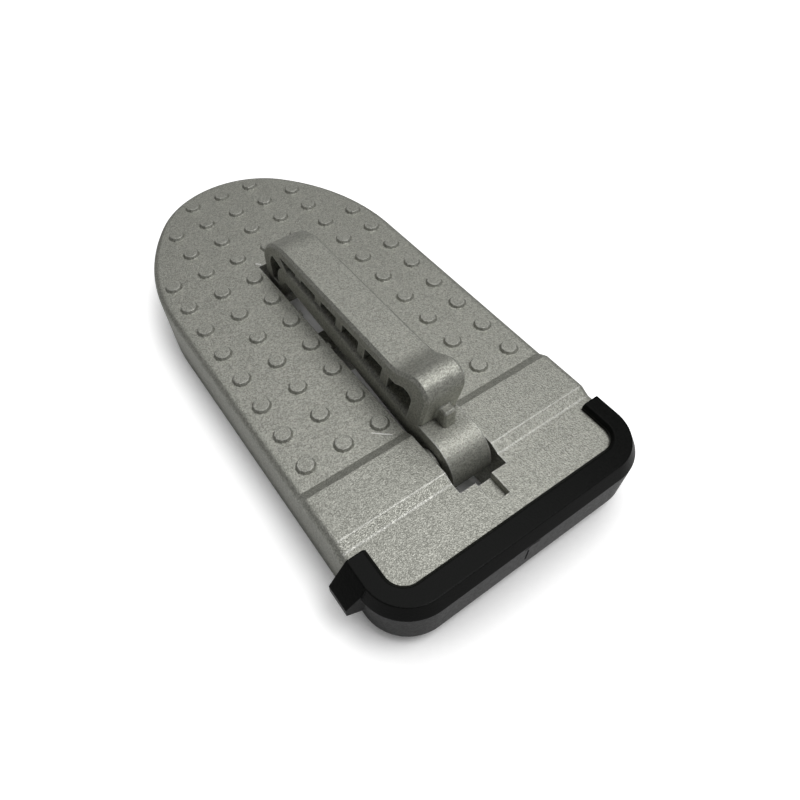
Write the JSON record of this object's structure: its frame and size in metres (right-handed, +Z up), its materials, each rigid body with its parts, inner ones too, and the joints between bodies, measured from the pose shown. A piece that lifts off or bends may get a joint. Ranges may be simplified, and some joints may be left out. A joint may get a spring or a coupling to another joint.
{
  "type": "folding car step",
  "caption": "Folding car-door step: round-nosed cast plate with a studded tread, a ribbed hook arm that swings up out of its slot, and a rubber bumper round the end.",
  "frame": {"origin": "middle of the length and of the slot, on the plane of the rim that the plate stands on", "axes": "+X from the round nose to the rubber bumper, +Z up through the tread, +Y across the plate"},
  "size_m": [0.1712, 0.0844, 0.041],
  "materials": {
    "casting": "shot-blasted die casting",
    "pin_steel": "ground",
    "rubber": "semi-matte moulded"
  },
  "bodies": {
    "plate": {"step_plate": "casting", "hinge_pin": "pin_steel", "end_bumper": "rubber"},
    "arm": {"hook_arm": "casting"}
  },
  "joints": [
    {"name": "arm_swing", "type": "hinge", "parent": "plate", "child": "arm", "pos_m": [0.054, 0, 0.0166], "axis": [0, 1, 0], "range_deg": [0, 90]}
  ]
}
